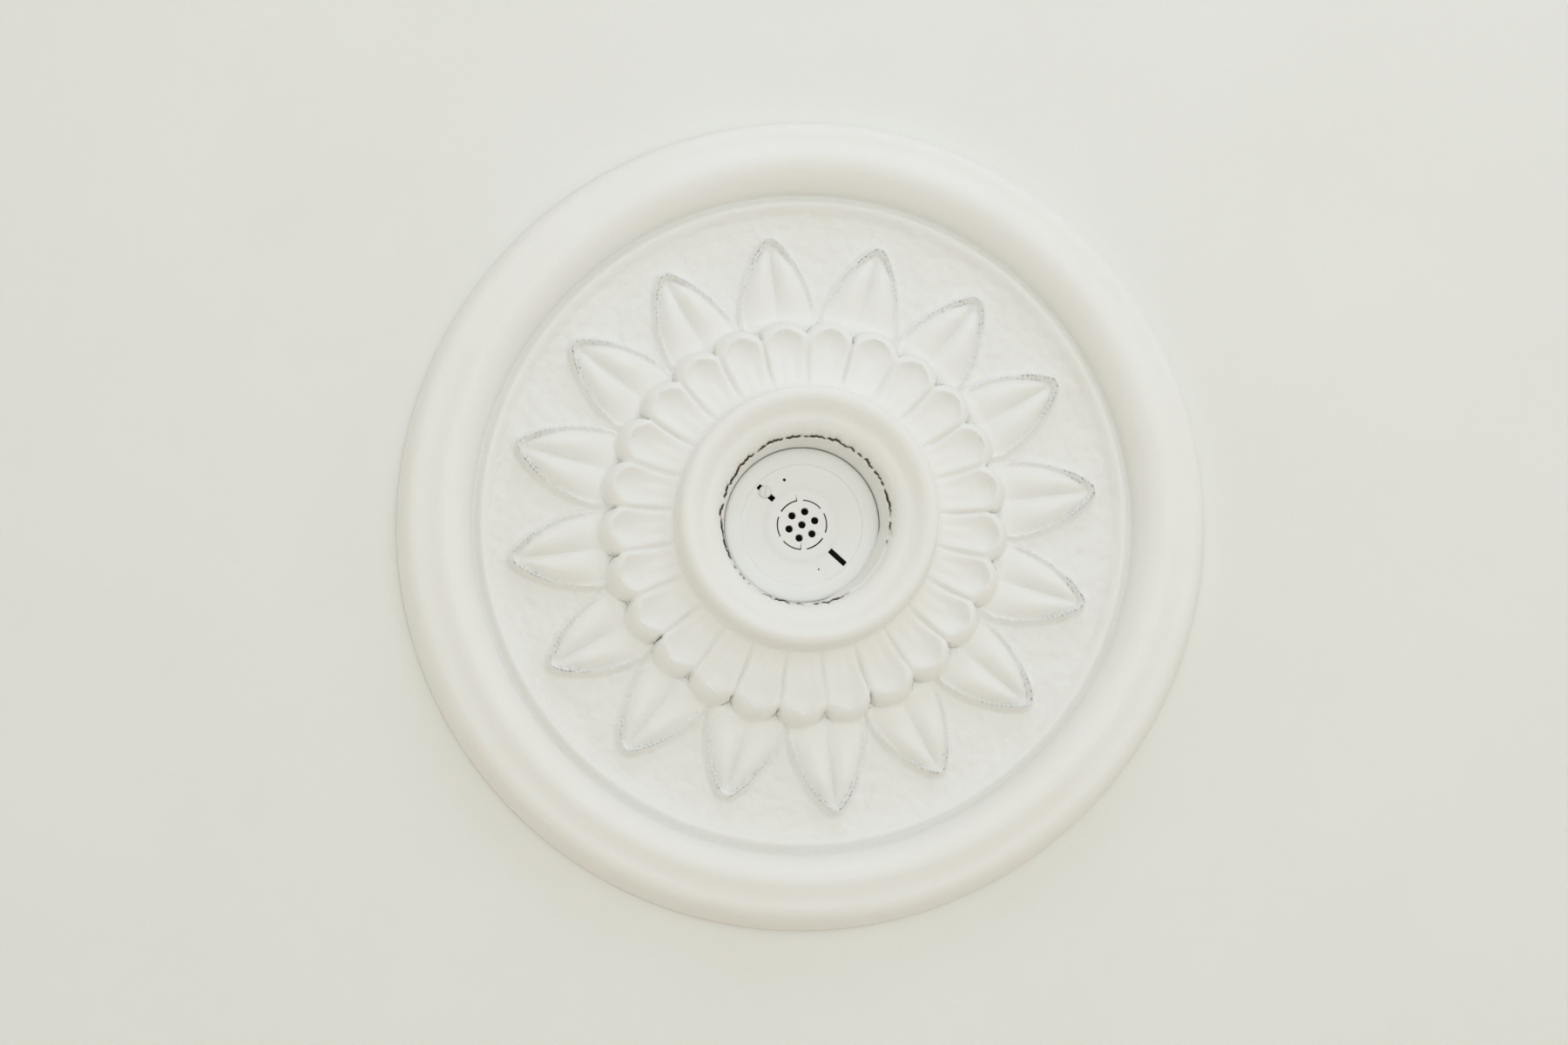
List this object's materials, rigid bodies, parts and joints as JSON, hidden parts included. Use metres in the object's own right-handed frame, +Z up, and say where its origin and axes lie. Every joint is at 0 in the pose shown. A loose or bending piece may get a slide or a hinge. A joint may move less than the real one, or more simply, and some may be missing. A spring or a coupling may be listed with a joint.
{
  "type": "ceiling rose",
  "caption": "Round cast plaster ceiling rose with moulded rim, leaves and petals round a raised ring, and a recessed plastic cover plate in its central opening.",
  "frame": {"origin": "centre of the flat back, in the plane of the ceiling", "axes": "+Z points up into the ceiling, so the relief hangs down towards -Z; +Y is the side that the picture shows at its top"},
  "size_m": [0.512, 0.512, 0.046],
  "materials": {
    "painted_plaster": "matt white paint over cast plaster, softened by many coats",
    "white_plastic": "smooth, low sheen",
    "painted_steel": "painted white with the plate"
  },
  "bodies": {
    "root": {"rose": "painted_plaster", "cover_plate": "white_plastic", "plate_screw": "painted_steel"}
  },
  "joints": []
}
